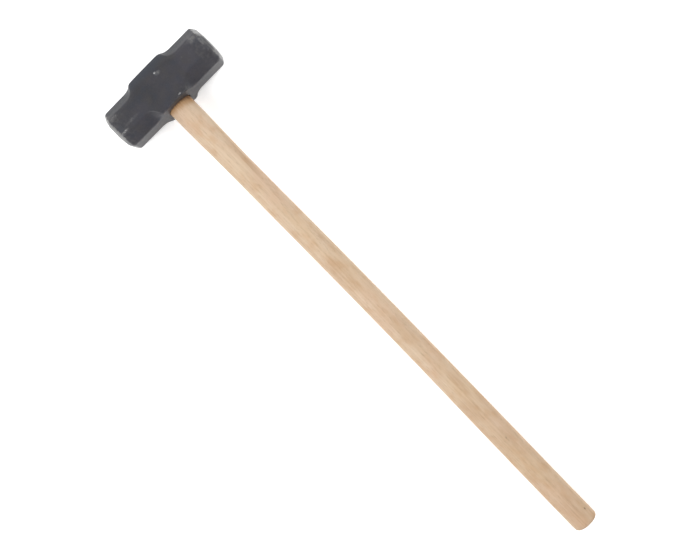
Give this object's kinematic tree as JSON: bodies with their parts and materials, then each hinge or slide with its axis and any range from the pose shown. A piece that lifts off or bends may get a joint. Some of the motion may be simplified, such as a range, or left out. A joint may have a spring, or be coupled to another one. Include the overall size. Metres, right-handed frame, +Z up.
{
  "type": "sledgehammer",
  "caption": "Double-faced forged steel sledgehammer head with octagonal striking ends, hung on a long straight oval ash handle and wedged.",
  "frame": {"origin": "on the ground, under the middle of the tool's bounding box", "axes": "+X from the head to the butt of the handle, +Y along the head from one striking face to the other, +Z up from the ground that the tool lies on"},
  "size_m": [0.9002, 0.1864, 0.0654],
  "materials": {
    "black_steel": "thin satin black coating on forged steel, worn to bare metal round both striking faces",
    "ash": "sanded pale ash with straight grain, thinly oiled",
    "wedge_wood": "split hardwood, unfinished",
    "bare_steel": "plain steel with hammer marks"
  },
  "bodies": {
    "root": {"head": "black_steel", "handle": "ash", "wooden_wedge": "wedge_wood", "steel_wedge_near_end": "bare_steel", "steel_wedge_far_end": "bare_steel"}
  },
  "joints": []
}
